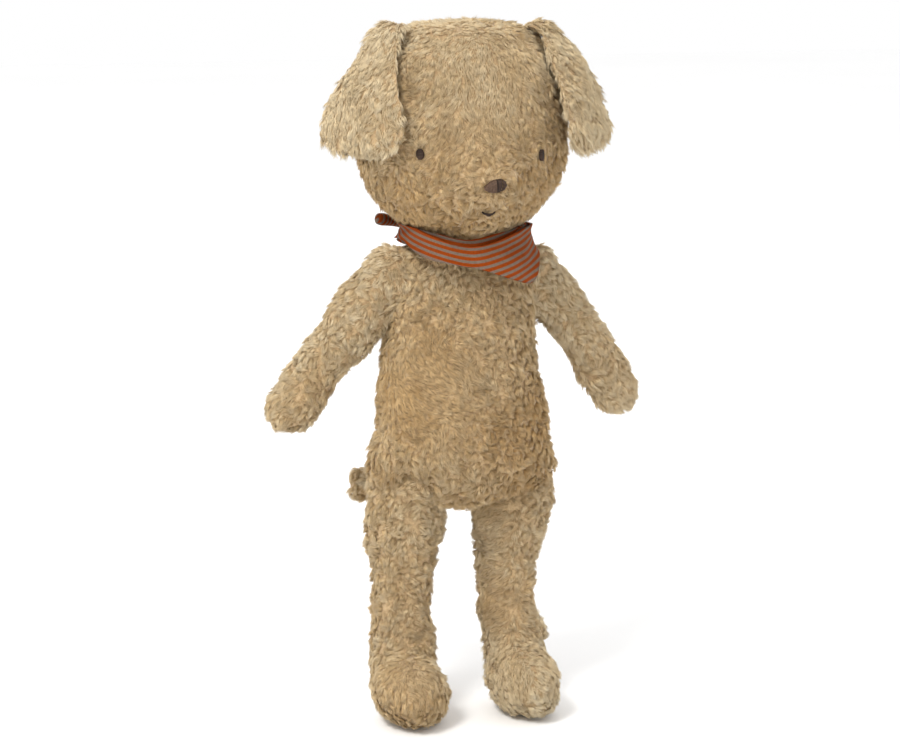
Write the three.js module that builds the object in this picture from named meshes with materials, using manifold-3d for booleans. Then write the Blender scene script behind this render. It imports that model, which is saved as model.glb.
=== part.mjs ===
// A plush dog with a striped neck scarf, in millimetres.
// The dog stands upright and looks along -Y. +X is its own left side and +Z is up.
// The soles rest on z = 0, and the origin is the middle of the whole toy's footprint.
//
// Each sewn skin is a 3 mm shell (backing cloth and pile) that is cut into its panels along the seams,
// around a solid filling. Each limb's root is a ball about its joint, and the torso is cut clear of it.

import * as THREE from "three";
import { LoftGeometry } from "three/addons/geometries/LoftGeometry.js";
import { mergeVertices } from "three/addons/utils/BufferGeometryUtils.js";
import Module from "manifold-3d";

const wasm = await Module();
wasm.setup();

// ---------- Driving dimensions ----------

const SKIN = 3; // backing cloth with its crushed pile
const GAP = 0.3; // clearance at each seam and each touching face
const ROOT_GAP = 0.7; // clearance around a limb's ball in the torso

// Rows of a soft form: [centre x, centre y, centre z, half width, half depth], from one end to the other.
const TORSO = [
  [0, 4, 92.5, 9, 7],
  [0, 4, 95, 23, 14],
  [0, 3, 100, 33, 20.5],
  [0, 1.5, 108, 39, 25.5],
  [0, 0, 121, 40, 28],
  [0, 0, 138, 37.5, 28.5],
  [0, 0, 160, 34.3, 27],
  [0, 0, 180, 32.8, 25],
  [0, 0, 193, 31, 23],
  [0, 0, 201, 27, 21],
  [0, 0, 204.5, 22.5, 19.5],
];
const HEAD = [
  [0, 0, 208.5, 11, 11],
  [0, 0, 211, 19.5, 19],
  [0, 0, 215, 27, 26],
  [0, 0, 220, 33.3, 31.5],
  [0, -0.5, 227, 38.8, 36],
  [0, -1, 237, 42.8, 39.5],
  [0, -1, 249, 44.8, 41.5],
  [0, 0, 262, 45, 42],
  [0, 0, 275, 43, 40.5],
  [0, 1, 286, 38.5, 37],
  [0, 1, 294.5, 31, 30],
  [0, 1, 298.8, 21, 21],
  [0, 1, 300, 11, 11],
];
const LEG = [
  [23.5, 7, 104, 11, 12],
  [23.6, 7, 98, 15.8, 16.2],
  [23.8, 7.5, 86, 16.6, 16.4],
  [23.6, 9, 72, 15.3, 15.2],
  [23.8, 10.5, 58, 13.9, 13.8],
  [24.2, 11, 44, 13.4, 13.4],
  [24.8, 9, 30, 13.8, 13.8],
  [25, 7, 17, 12, 13],
  [25, 5, 9, 7, 8],
];
const TAIL = [
  [0, 26, 103, 4.5, 4.5],
  [-2, 32, 102, 7.2, 7.2],
  [-9, 41, 99, 7.8, 7.8],
  [-20, 48.5, 95, 8, 8],
  [-29.5, 52, 92.5, 7.4, 7.4],
  [-34.8, 53, 91.5, 4.2, 4.2],
];

const MUZZLE = { reach: 13.6, halfWidth: 21, z: 232, halfHeight: 16 };
const FACE_STRIP = { halfWidth: 23, bottom: 217.5 }; // crown and muzzle strip between the two cheeks
const NOSE = { z: 235.4, width: 9.4, height: 5.8 };
const MOUTH = { z: 223.8, width: 8.5, sag: 2, thickness: 1.1 };
const EYE = { x: 25.6, z: 246.6, width: 3.4, height: 4.6 };
const THREAD = 1.1; // how far an embroidered feature stands out of the skin

const NECK = { x: 0, y: 0, z: 206, ball: 18, tube: 15, tubeHalf: 8.5 };

const SHOULDER = { x: 29.5, y: 0, z: 189.5, ball: 12.6 };
const ARM_POINTS = [ // the middle line of an arm, past the shoulder
  [0, 0, 0],
  [16.5, 2.5, -16.5],
  [28.8, 5.5, -32.5],
  [41, 9, -52],
];
const ARM_RADII = [12, 11.4, 11.2, 11.8];

const HIP = { x: 24, y: 7, z: 100, ball: 16.8 };
const FOOT = { x: 25.4, y: -7, z: 15.5, halfWidth: 15.8, halfLength: 26.5, halfHeight: 18.6, toeOut: 4 };
const THIGH = { knee: [23.6, 9, 58], hipRadius: 17.45, kneeRadius: 16.2 }; // room that a thigh takes
const LEG_SWING = { back: -20, forward: 100, step: 15 }; // degrees that the torso is hollowed for
const ARM_SWING = [-60, -30, 0, 8]; // degrees of lift, negative upwards, that the torso is hollowed for

const TAIL_ROOT = { x: 0, y: 27, z: 103, ball: 7.4 };

const EAR = {
  root: [33.2, -7, 295.8], // middle of the seam that the ear folds about
  rootHalf: 9, // half length of the groove that the seam lies in
  rootRadius: 4.3,
  outward: [0.742, -0.67, 0], // level direction in which the ear leaves its seam
  across: [0.67, 0.742, 0], // level direction along the seam
};
// Rows of an ear: [distance outward, height over the seam, half width, half thickness].
const EAR_ROWS = [
  [-2.6, -0.2, 8.4, 2],
  [0.5, 0.2, 9.2, 3.4],
  [5.6, -0.4, 10, 3.6],
  [10.2, -4.2, 11.2, 3.6],
  [14, -11.5, 13.2, 3.8],
  [17, -21, 16, 3.9],
  [19.6, -32, 19, 4],
  [21.2, -42.5, 20.6, 3.9],
  [21.4, -49, 17.6, 3.4],
  [21.2, -52.4, 10.4, 2.2],
];

const SCARF = { top: 212.8, thickness: 2.4, backBottom: 203.5 };
// The scarf's inner face around the neck: [radius, z], from the top edge down.
const SCARF_FACE = [
  [26.6, 212.8],
  [28, 208],
  [31.2, 201],
  [33.2, 194],
  [33.8, 186],
];
// The lower edge of the front flap, seen from the front: [x, z], from the dog's right to its left.
const FLAP_EDGE = [
  [-40, 209],
  [-27, 204.5],
  [-14, 200.5],
  [0, 198],
  [14, 195.5],
  [25, 190],
  [27.5, 195],
  [29, 204.5],
  [40, 205],
];
const KNOT = { x: -19, y: 26, z: 209.5, radius: 6.6 };
const TIE_RADIUS = 2.7;

// ---------- Materials ----------

const plush = new THREE.MeshStandardMaterial({ color: "#ae926e", roughness: 0.95, metalness: 0 });
const plushLight = new THREE.MeshStandardMaterial({ color: "#b89c77", roughness: 0.95, metalness: 0 });
const filling = new THREE.MeshStandardMaterial({ color: "#efece4", roughness: 1, metalness: 0 });
const darkThread = new THREE.MeshStandardMaterial({ color: "#43302a", roughness: 0.6, metalness: 0 });
const jersey = new THREE.MeshStandardMaterial({ color: "#c05a22", roughness: 0.9, metalness: 0 });

// ---------- Solids ----------

const vector = (p) => new THREE.Vector3(...p);
const at = (place) => [place.x, place.y, place.z];

// The same surface with its shared points merged and nothing but positions.
function bareSurface(geometry) {
  const bare = new THREE.BufferGeometry();
  bare.setAttribute("position", geometry.getAttribute("position").clone());
  bare.setIndex(geometry.index);
  return mergeVertices(bare, 1e-4);
}

function toSolid(geometry) {
  const merged = bareSurface(geometry);
  return new wasm.Manifold(
    new wasm.Mesh({
      numProp: 3,
      vertProperties: new Float32Array(merged.attributes.position.array),
      triVerts: new Uint32Array(merged.index.array),
    }),
  );
}

function toGeometry(solid) {
  const mesh = solid.getMesh();
  const positions = new Float32Array(mesh.numVert * 3);
  for (let i = 0; i < mesh.numVert; i++) {
    positions.set(mesh.vertProperties.subarray(i * mesh.numProp, i * mesh.numProp + 3), i * 3);
  }
  const geometry = new THREE.BufferGeometry();
  geometry.setAttribute("position", new THREE.BufferAttribute(positions, 3));
  geometry.setIndex(new THREE.BufferAttribute(new Uint32Array(mesh.triVerts), 1));
  geometry.computeVertexNormals();
  return geometry;
}

// Moves each point of a closed surface outwards, or inwards where the distance is negative.
function grown(geometry, distance) {
  const merged = bareSurface(geometry);
  merged.computeVertexNormals();
  const { position, normal } = merged.attributes;
  for (let i = 0; i < position.count; i++) {
    position.setXYZ(
      i,
      position.getX(i) + normal.getX(i) * distance,
      position.getY(i) + normal.getY(i) * distance,
      position.getZ(i) + normal.getZ(i) * distance,
    );
  }
  return merged;
}

function box([x0, y0, z0], [x1, y1, z1]) {
  const geometry = new THREE.BoxGeometry(x1 - x0, y1 - y0, z1 - z0);
  geometry.translate((x0 + x1) / 2, (y0 + y1) / 2, (z0 + z1) / 2);
  return toSolid(geometry);
}

function ball(centre, radius, around = 14, down = 10) {
  return toSolid(new THREE.SphereGeometry(radius, around, down).translate(centre.x, centre.y, centre.z));
}

// A tapered rod from one point towards another, turned about an axis through the first.
function spoke(from, to, fromRadius, toRadius, axis, degrees) {
  const reach = to.clone().sub(from);
  const rod = new THREE.CylinderGeometry(toRadius, fromRadius, reach.length(), 12);
  rod.translate(0, reach.length() / 2, 0);
  rod.applyQuaternion(new THREE.Quaternion().setFromUnitVectors(new THREE.Vector3(0, 1, 0), reach.normalize()));
  rod.applyQuaternion(new THREE.Quaternion().setFromAxisAngle(axis, THREE.MathUtils.degToRad(degrees)));
  return toSolid(rod.translate(from.x, from.y, from.z));
}

// A smooth closed form through level oval sections.
function softForm(rows, rings, sides) {
  const curve = (pick) => new THREE.CatmullRomCurve3(rows.map(pick), false, "catmullrom", 0.5);
  const centres = curve(([x, y, z]) => new THREE.Vector3(x, y, z));
  const halves = curve(([, , , width, depth]) => new THREE.Vector3(width, depth, 0));
  const rising = rows.at(-1)[2] > rows[0][2];
  const sections = [];
  for (let i = 0; i <= rings; i++) {
    const centre = centres.getPoint(i / rings);
    const half = halves.getPoint(i / rings);
    const section = [];
    for (let j = 0; j < sides; j++) {
      const angle = ((rising ? 1 : -1) * j * 2 * Math.PI) / sides;
      section.push(new THREE.Vector3(half.x * Math.cos(angle), half.y * Math.sin(angle), 0).add(centre));
    }
    sections.push(section);
  }
  return new LoftGeometry(sections, { capStart: true, capEnd: true });
}

// A round tube of changing radius along a smooth line, with rounded ends.
function limbForm(points, radii, rings, sides, side = new THREE.Vector3(0, 1, 0)) {
  const line = new THREE.CatmullRomCurve3(points, false, "catmullrom", 0.5);
  const size = new THREE.CatmullRomCurve3(
    radii.map((radius) => new THREE.Vector3(radius, 0, 0)),
    false,
    "catmullrom",
    0.5,
  );
  const stops = [];
  const endTurns = [80, 60, 38, 18];
  const startLine = line.getTangent(0);
  const endLine = line.getTangent(1);
  for (const turn of endTurns) {
    const reach = radii[0] * Math.sin(THREE.MathUtils.degToRad(turn));
    const radius = radii[0] * Math.cos(THREE.MathUtils.degToRad(turn));
    stops.push({ centre: points[0].clone().addScaledVector(startLine, -reach), along: startLine, radius });
  }
  for (let i = 0; i <= rings; i++) {
    const t = i / rings;
    stops.push({ centre: line.getPoint(t), along: line.getTangent(t), radius: size.getPoint(t).x });
  }
  for (const turn of endTurns.toReversed()) {
    const reach = radii.at(-1) * Math.sin(THREE.MathUtils.degToRad(turn));
    const radius = radii.at(-1) * Math.cos(THREE.MathUtils.degToRad(turn));
    stops.push({ centre: points.at(-1).clone().addScaledVector(endLine, reach), along: endLine, radius });
  }
  const sections = stops.map(({ centre, along, radius }) => {
    const across = new THREE.Vector3().crossVectors(along, side).normalize();
    const up = new THREE.Vector3().crossVectors(along, across);
    const section = [];
    for (let j = 0; j < sides; j++) {
      const angle = (j * 2 * Math.PI) / sides;
      section.push(
        centre
          .clone()
          .addScaledVector(across, radius * Math.cos(angle))
          .addScaledVector(up, radius * Math.sin(angle)),
      );
    }
    return section;
  });
  return new LoftGeometry(sections, { capStart: true, capEnd: true });
}

// The filling and the skin of one stuffed form, given its outer solid and the same form made smaller.
function stuffed(outer, shrunk) {
  return { skin: outer.subtract(shrunk(SKIN)), core: shrunk(SKIN + GAP) };
}

const FAR = 400;
const rightOf = (x) => box([-FAR, -FAR, -FAR], [x - GAP / 2, FAR, FAR]);
const leftOf = (x) => box([x + GAP / 2, -FAR, -FAR], [FAR, FAR, FAR]);
const inFrontOf = (y) => box([-FAR, -FAR, -FAR], [FAR, y - GAP / 2, FAR]);
const behind = (y) => box([-FAR, y + GAP / 2, -FAR], [FAR, FAR, FAR]);

// A half space on the positive side of a plane, half a seam's gap away from it.
function beyond(point, normal) {
  const geometry = new THREE.BoxGeometry(2 * FAR, 2 * FAR, FAR);
  geometry.translate(0, 0, FAR / 2 + GAP / 2);
  geometry.applyQuaternion(new THREE.Quaternion().setFromUnitVectors(new THREE.Vector3(0, 0, 1), normal));
  geometry.translate(point.x, point.y, point.z);
  return toSolid(geometry);
}

// ---------- Groups, one for each moving body, each at its joint ----------

const dog = new THREE.Group();

function joint(parent, place) {
  const group = new THREE.Group();
  const origin = vector(place);
  group.userData.origin = origin;
  group.position.copy(origin);
  if (parent.userData.origin) group.position.sub(parent.userData.origin);
  parent.add(group);
  return group;
}

function add(group, name, solid, material) {
  const geometry = toGeometry(solid);
  const { x, y, z } = group.userData.origin;
  geometry.translate(-x, -y, -z);
  const mesh = new THREE.Mesh(geometry, material.clone());
  mesh.name = name;
  group.add(mesh);
}

const SIDES = [
  { label: "right", sign: -1 },
  { label: "left", sign: 1 },
];
const mirrored = ([x, ...rest], sign) => [x * sign, ...rest];

// ---------- Legs ----------

function footForm(sign, sides, rings) {
  const foot = new THREE.SphereGeometry(1, sides, rings);
  foot.scale(FOOT.halfWidth, FOOT.halfLength, FOOT.halfHeight);
  foot.rotateZ(THREE.MathUtils.degToRad(FOOT.toeOut * sign));
  return foot.translate(FOOT.x * sign, FOOT.y, FOOT.z);
}

function legSolid(sign, shrink, sides, rings) {
  const leg = softForm(LEG.map((row) => mirrored(row, sign)), rings, sides);
  const foot = footForm(sign, sides, rings);
  const root = ball(vector(mirrored(at(HIP), sign)), HIP.ball - shrink, sides, 8);
  const floor = box([-FAR, -FAR, shrink], [FAR, FAR, FAR]);
  return toSolid(grown(leg, -shrink)).add(root).add(toSolid(grown(foot, -shrink))).intersect(floor);
}

// The room that a thigh needs as it swings forward and back, with clearance.
function legRoom(sign) {
  const hip = vector(mirrored(at(HIP), sign));
  const knee = vector(mirrored(THIGH.knee, sign));
  let room = ball(hip, HIP.ball + ROOT_GAP);
  for (let turn = LEG_SWING.back; turn <= LEG_SWING.forward; turn += LEG_SWING.step) {
    room = room.add(spoke(hip, knee, THIGH.hipRadius, THIGH.kneeRadius, new THREE.Vector3(1, 0, 0), -turn));
  }
  return room;
}

function addLegs(torso) {
  for (const { label, sign } of SIDES) {
    const group = joint(torso, mirrored(at(HIP), sign));
    const { skin, core } = stuffed(legSolid(sign, 0, 12, 7), (shrink) => legSolid(sign, shrink, 8, 5));
    const seam = HIP.x * sign;
    const [inner, outer] = sign > 0 ? [rightOf, leftOf] : [leftOf, rightOf];
    add(group, `leg_${label}_stuffing`, core, filling);
    add(group, `leg_${label}_inner_panel`, skin.intersect(inner(seam)), plush);
    add(group, `leg_${label}_outer_panel`, skin.intersect(outer(seam)), plushLight);
  }
}

// ---------- Arms ----------

function armPoints(sign) {
  return ARM_POINTS.map(([x, y, z]) => vector([(SHOULDER.x + x) * sign, SHOULDER.y + y, SHOULDER.z + z]));
}

function armSolid(sign, shrink, sides, rings) {
  const arm = limbForm(armPoints(sign), ARM_RADII.map((radius) => radius - shrink), rings, sides);
  return toSolid(arm).add(ball(vector(mirrored(at(SHOULDER), sign)), SHOULDER.ball - shrink, sides, 8));
}

// The room that an upper arm needs as it lifts, with clearance.
function armRoom(sign) {
  const [shoulder, elbow] = armPoints(sign);
  let room = ball(shoulder, SHOULDER.ball + ROOT_GAP);
  for (const turn of ARM_SWING) {
    const axis = new THREE.Vector3(0, sign, 0);
    room = room.add(spoke(shoulder, elbow, ARM_RADII[0] + ROOT_GAP, ARM_RADII[1] + 2 * ROOT_GAP, axis, turn));
  }
  return room;
}

function addArms(torso) {
  for (const { label, sign } of SIDES) {
    const shoulder = mirrored(at(SHOULDER), sign);
    const group = joint(torso, shoulder);
    const { skin, core } = stuffed(armSolid(sign, 0, 10, 4), (shrink) => armSolid(sign, shrink, 7, 3));
    const [reachX, reachY, reachZ] = ARM_POINTS.at(-1);
    const along = new THREE.Vector3(reachX * sign, reachY, reachZ).normalize();
    const forward = new THREE.Vector3(0, -1, 0).projectOnPlane(along).normalize();
    add(group, `arm_${label}_stuffing`, core, filling);
    add(group, `arm_${label}_front_panel`, skin.intersect(beyond(vector(shoulder), forward)), plush);
    add(
      group,
      `arm_${label}_back_panel`,
      skin.intersect(beyond(vector(shoulder), forward.clone().negate())),
      plushLight,
    );
  }
}

// ---------- Tail ----------

function tailSolid(shrink, sides, rings) {
  const line = TAIL.slice(1, -1).map(([x, y, z]) => new THREE.Vector3(x, y, z));
  const radii = TAIL.slice(1, -1).map(([, , , radius]) => radius - shrink);
  const tail = limbForm(line, radii, rings, sides, new THREE.Vector3(0, 0, 1));
  return toSolid(tail).add(ball(TAIL_ROOT, TAIL_ROOT.ball - shrink, sides, 8));
}

function addTail(torso) {
  const group = joint(torso, at(TAIL_ROOT));
  const { skin, core } = stuffed(tailSolid(0, 10, 4), (shrink) => tailSolid(shrink, 8, 2));
  const seamZ = 97.5;
  add(group, "tail_stuffing", core, filling);
  add(group, "tail_upper_panel", skin.intersect(box([-FAR, -FAR, seamZ + GAP / 2], [FAR, FAR, FAR])), plush);
  add(group, "tail_lower_panel", skin.intersect(box([-FAR, -FAR, -FAR], [FAR, FAR, seamZ - GAP / 2])), plush);
}

// ---------- Torso ----------

function addTorso() {
  const torso = joint(dog, [0, 0, 0]);
  let room = ball(NECK, NECK.ball + ROOT_GAP).add(ball(TAIL_ROOT, TAIL_ROOT.ball + ROOT_GAP));
  for (const { sign } of SIDES) {
    room = room.add(armRoom(sign)).add(legRoom(sign));
  }
  const form = (shrink, sides, rings) => toSolid(grown(softForm(TORSO, rings, sides), -shrink));
  const { skin, core } = stuffed(form(0, 16, 10), (shrink) => form(shrink, 10, 7));
  const cutSkin = skin.subtract(room);
  const back = cutSkin.intersect(behind(0));
  add(torso, "torso_stuffing", core.subtract(room), filling);
  add(torso, "belly_panel", cutSkin.intersect(inFrontOf(0)), plush);
  add(torso, "back_panel_right", back.intersect(rightOf(0)), plushLight);
  add(torso, "back_panel_left", back.intersect(leftOf(0)), plush);
  return torso;
}

// ---------- Neck ----------

function addNeck(torso) {
  const group = joint(torso, at(NECK));
  const whole = ball(NECK, NECK.ball);
  const slab = (half) => box([-FAR, -FAR, NECK.z - half], [FAR, FAR, NECK.z + half]);
  const tubeRoom = slab(NECK.tubeHalf + GAP).subtract(ball(NECK, NECK.tube - GAP));
  add(group, "neck_stuffing", whole.subtract(tubeRoom), filling);
  add(group, "neck_tube", whole.intersect(slab(NECK.tubeHalf)).subtract(ball(NECK, NECK.tube)), plush);
  return group;
}

// ---------- Head ----------

function headForm(sides, rings) {
  const form = softForm(HEAD, rings, sides);
  const { position } = form.attributes;
  for (let i = 0; i < position.count; i++) {
    const [x, y, z] = [position.getX(i), position.getY(i), position.getZ(i)];
    const facing = THREE.MathUtils.smoothstep(-y, 4, 26);
    const push = Math.exp(-((x / MUZZLE.halfWidth) ** 2) - ((z - MUZZLE.z) / MUZZLE.halfHeight) ** 2);
    position.setY(i, y - MUZZLE.reach * push * facing);
  }
  return form;
}

// How far forward the face is at one place, found along a ray from the front.
function faceAt(face, x, z) {
  const ray = new THREE.Raycaster(new THREE.Vector3(x, -FAR, z), new THREE.Vector3(0, 1, 0));
  const hit = ray.intersectObject(face)[0];
  return hit.point.y;
}

// An embroidered feature: its outline is extruded, wrapped on the face and raised by one thread.
function embroidered(face, outline, x, z) {
  const deep = 12;
  const stitch = new THREE.ExtrudeGeometry(outline, { depth: deep, bevelEnabled: false, curveSegments: 6 });
  stitch.rotateX(Math.PI / 2);
  stitch.translate(x, 0, z);
  const middle = faceAt(face, x, z);
  stitch.translate(0, middle + deep / 2, 0);
  return toSolid(stitch);
}

function ovalOutline(width, height) {
  const outline = new THREE.Shape();
  outline.absellipse(0, 0, width / 2, height / 2, 0, 2 * Math.PI, false, 0);
  return outline;
}

function noseOutline() {
  const half = NOSE.width / 2;
  const high = NOSE.height / 2;
  const outline = new THREE.Shape();
  outline.moveTo(-half, high * 0.35);
  outline.quadraticCurveTo(-half, high, -half * 0.5, high);
  outline.lineTo(half * 0.5, high);
  outline.quadraticCurveTo(half, high, half, high * 0.35);
  outline.quadraticCurveTo(half * 0.7, -high * 0.8, 0, -high);
  outline.quadraticCurveTo(-half * 0.7, -high * 0.8, -half, high * 0.35);
  return outline;
}

function mouthOutline() {
  const half = MOUTH.width / 2;
  const outline = new THREE.Shape();
  outline.moveTo(-half, MOUTH.sag / 2);
  outline.quadraticCurveTo(0, -1.5 * MOUTH.sag, half, MOUTH.sag / 2);
  outline.lineTo(half, MOUTH.sag / 2 + MOUTH.thickness);
  outline.quadraticCurveTo(0, MOUTH.thickness - 1.5 * MOUTH.sag, -half, MOUTH.sag / 2 + MOUTH.thickness);
  outline.closePath();
  return outline;
}

function addHead(neck) {
  const group = joint(neck, at(NECK));
  const form = headForm(18, 12);
  const face = new THREE.Mesh(form, plush);
  const whole = toSolid(form);
  let room = ball(NECK, NECK.ball + ROOT_GAP);
  for (const { sign } of SIDES) room = room.add(earRoom(sign));
  const { skin, core } = stuffed(whole, (shrink) => toSolid(grown(headForm(12, 9), -shrink)));
  const cutSkin = skin.subtract(room);
  const strip = (spare) =>
    box([-FACE_STRIP.halfWidth - spare, -FAR, FACE_STRIP.bottom - spare], [FACE_STRIP.halfWidth + spare, FAR, FAR]);
  add(group, "head_stuffing", core.subtract(room), filling);
  add(group, "head_centre_panel", cutSkin.intersect(strip(0)), plushLight);
  const cheeks = cutSkin.subtract(strip(GAP));
  add(group, "head_side_panel_right", cheeks.intersect(rightOf(0)), plush);
  add(group, "head_side_panel_left", cheeks.intersect(leftOf(0)), plush);

  const sheath = toSolid(grown(form, THREAD + GAP)).subtract(toSolid(grown(form, GAP)));
  const stitched = (outline, x, z) => embroidered(face, outline, x, z).intersect(sheath);
  add(group, "nose", stitched(noseOutline(), 0, NOSE.z), darkThread);
  add(group, "mouth", stitched(mouthOutline(), 0, MOUTH.z), darkThread);
  for (const { label, sign } of SIDES) {
    add(group, `eye_${label}`, stitched(ovalOutline(EYE.width, EYE.height), EYE.x * sign, EYE.z), darkThread);
  }
  return group;
}

// ---------- Ears ----------

// The groove in the crown that an ear's rolled root turns in.
function earRoom(sign) {
  const root = vector(mirrored(EAR.root, sign));
  const across = vector(mirrored(EAR.across, sign)).multiplyScalar(EAR.rootHalf);
  const ends = [root.clone().sub(across), root.clone().add(across)];
  return toSolid(limbForm(ends, [EAR.rootRadius, EAR.rootRadius], 1, 12, new THREE.Vector3(0, 0, 1)));
}

// One of the two layers of an ear: half of each oval section, on one side of the ear's middle surface.
function earLayer(sign, outerSide, rings, sides) {
  const root = vector(mirrored(EAR.root, sign));
  const outward = vector(mirrored(EAR.outward, sign));
  const across = vector(mirrored(EAR.across, sign));
  const up = new THREE.Vector3(0, 0, 1);
  const curve = (pick) => new THREE.CatmullRomCurve3(EAR_ROWS.map(pick), false, "catmullrom", 0.5);
  const line = curve(([out, height]) =>
    root.clone().addScaledVector(outward, out).addScaledVector(up, height));
  const halves = curve(([, , width, thickness]) => new THREE.Vector3(width, thickness, 0));
  const sections = [];
  for (let i = 0; i <= rings; i++) {
    const t = i / rings;
    const centre = line.getPoint(t);
    const half = halves.getPoint(t);
    const away = new THREE.Vector3().crossVectors(line.getTangent(t), across).normalize();
    away.multiplyScalar(outerSide ? sign : -sign);
    const section = [];
    for (let j = 0; j <= sides; j++) {
      const angle = (j * Math.PI) / sides;
      section.push(
        centre
          .clone()
          .addScaledVector(across, half.x * Math.cos(angle))
          .addScaledVector(away, GAP / 2 + (half.y - GAP / 2) * Math.sin(angle)),
      );
    }
    if (sign > 0 !== outerSide) section.reverse();
    sections.push(section);
  }
  return new LoftGeometry(sections, { capStart: true, capEnd: true });
}

function addEars(head) {
  for (const { label, sign } of SIDES) {
    const group = joint(head, mirrored(EAR.root, sign));
    add(group, `ear_${label}_outer`, toSolid(earLayer(sign, true, 10, 6)), plushLight);
    add(group, `ear_${label}_inner`, toSolid(earLayer(sign, false, 10, 6)), plush);
  }
}

// ---------- Scarf ----------

function scarfWrap() {
  const inside = SCARF_FACE.map(([radius, z]) => new THREE.Vector2(radius, z));
  const outside = SCARF_FACE.map(([radius, z]) => new THREE.Vector2(radius + SCARF.thickness, z)).reverse();
  const profile = [...outside, ...inside, outside[0].clone()];
  const wrap = new THREE.LatheGeometry(profile, 24);
  wrap.rotateX(Math.PI / 2);
  return toSolid(wrap);
}

function scarfTrim() {
  const edge = new THREE.Shape(FLAP_EDGE.map(([x, z]) => new THREE.Vector2(x, z)));
  edge.lineTo(60, FLAP_EDGE.at(-1)[1]);
  edge.lineTo(60, SCARF.top + 10);
  edge.lineTo(-60, SCARF.top + 10);
  edge.lineTo(-60, FLAP_EDGE[0][1]);
  edge.closePath();
  const front = new THREE.ExtrudeGeometry(edge, { depth: 60, bevelEnabled: false });
  front.rotateX(Math.PI / 2);
  return toSolid(front).add(box([-60, 0, SCARF.backBottom], [60, 60, SCARF.top + 10]));
}

function tieEnd(points) {
  const line = new THREE.CatmullRomCurve3(points.map(vector));
  const section = new THREE.Shape();
  section.absellipse(0, 0, TIE_RADIUS, TIE_RADIUS * 1.3, 0, 2 * Math.PI, false, 0);
  return toSolid(
    new THREE.ExtrudeGeometry(section, { steps: 5, extrudePath: line, bevelEnabled: false, curveSegments: 4 }),
  );
}

function addScarf(neck) {
  const group = joint(neck, at(NECK));
  const knot = ball(KNOT, KNOT.radius, 12, 8);
  const knotRoom = ball(KNOT, KNOT.radius + 2 * GAP, 12, 8);
  const shortEnd = tieEnd([[KNOT.x, KNOT.y, KNOT.z + 1], [-26, 25, 213], [-31.5, 18.5, 214.5], [-34.5, 11.5, 214]]);
  const longEnd = tieEnd([[KNOT.x, KNOT.y, KNOT.z], [-16, 34, 205], [-12, 38.5, 196], [-10, 39.5, 186]]);
  add(group, "scarf_wrap", scarfWrap().intersect(scarfTrim()).subtract(knotRoom), jersey);
  add(group, "scarf_knot", knot, jersey);
  add(group, "scarf_short_end", shortEnd.subtract(knotRoom), jersey);
  add(group, "scarf_long_end", longEnd.subtract(knotRoom), jersey);
}

// ---------- Assembly ----------

const torso = addTorso();
addLegs(torso);
addArms(torso);
addTail(torso);
const neck = addNeck(torso);
const head = addHead(neck);
addEars(head);
addScarf(neck);

// The soles stay on z = 0, and the footprint's middle comes to the origin.
const extent = new THREE.Box3().setFromObject(dog);
const middle = extent.getCenter(new THREE.Vector3());
dog.position.set(-middle.x, -middle.y, -extent.min.z);

export default dog;
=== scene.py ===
import math

import bmesh
import bpy
import numpy as np
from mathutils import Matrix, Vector, noise
from mathutils.bvhtree import BVHTree
from mathutils.kdtree import KDTree


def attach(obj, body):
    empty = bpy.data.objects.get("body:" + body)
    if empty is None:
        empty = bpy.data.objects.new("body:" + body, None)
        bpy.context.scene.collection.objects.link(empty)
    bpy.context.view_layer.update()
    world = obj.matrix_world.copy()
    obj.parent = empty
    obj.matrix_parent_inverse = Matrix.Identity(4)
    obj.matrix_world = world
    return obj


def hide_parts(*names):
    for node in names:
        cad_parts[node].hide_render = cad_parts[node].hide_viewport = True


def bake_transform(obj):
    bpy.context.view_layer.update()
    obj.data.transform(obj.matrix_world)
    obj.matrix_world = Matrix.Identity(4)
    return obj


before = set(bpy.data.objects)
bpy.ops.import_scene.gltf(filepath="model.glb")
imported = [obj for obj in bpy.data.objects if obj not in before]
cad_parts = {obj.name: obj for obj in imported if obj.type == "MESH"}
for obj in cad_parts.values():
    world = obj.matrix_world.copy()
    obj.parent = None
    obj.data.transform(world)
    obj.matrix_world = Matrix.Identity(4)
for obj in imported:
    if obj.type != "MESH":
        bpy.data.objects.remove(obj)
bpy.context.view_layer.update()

MM = 0.001
# The part was modelled about its neck's axis, which lies this far from the frame's origin.
AXIS = np.array([0.0, -3.6355, 0.0])


def at(x, y, z):
    """A point given in millimetres from the neck's axis, in the frame, in metres."""
    return (np.array([x, y, z], float) + AXIS) * MM


def linked(name, data):
    """A new object of the scene with that mesh, lamp or camera."""
    obj = bpy.data.objects.new(name, data)
    bpy.context.scene.collection.objects.link(obj)
    return obj


# ----- Camera and lights -----

# the photograph's viewing angle round and up, from 1.172 m
azimuth, elevation = math.radians(-15.65), math.radians(10.4)
level = math.cos(elevation)
away = Vector((math.sin(azimuth) * level, -math.cos(azimuth) * level, math.sin(elevation)))
view = bpy.data.cameras.new("camera")
view.lens, view.sensor_width = 110.45, 36
view.shift_x, view.shift_y = -0.0109, -0.0034
camera = linked("camera", view)
camera.location = Vector(at(0, 0, 150)) + away * 1.172
camera.rotation_euler = away.to_track_quat("Z", "Y").to_euler()
bpy.context.scene.camera = camera


BODY_MIDDLE = (0, 0, 0.15)


def area_light(name, place, size, power, colour=(1, 1, 1)):
    data = bpy.data.lights.new(name, "AREA")
    data.shape = "DISK"
    data.size = size
    data.energy = power
    data.color = colour
    lamp = linked(name, data)
    lamp.location = place
    lamp.rotation_euler = (Vector(place) - Vector(BODY_MIDDLE)).to_track_quat("Z", "Y").to_euler()


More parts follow.
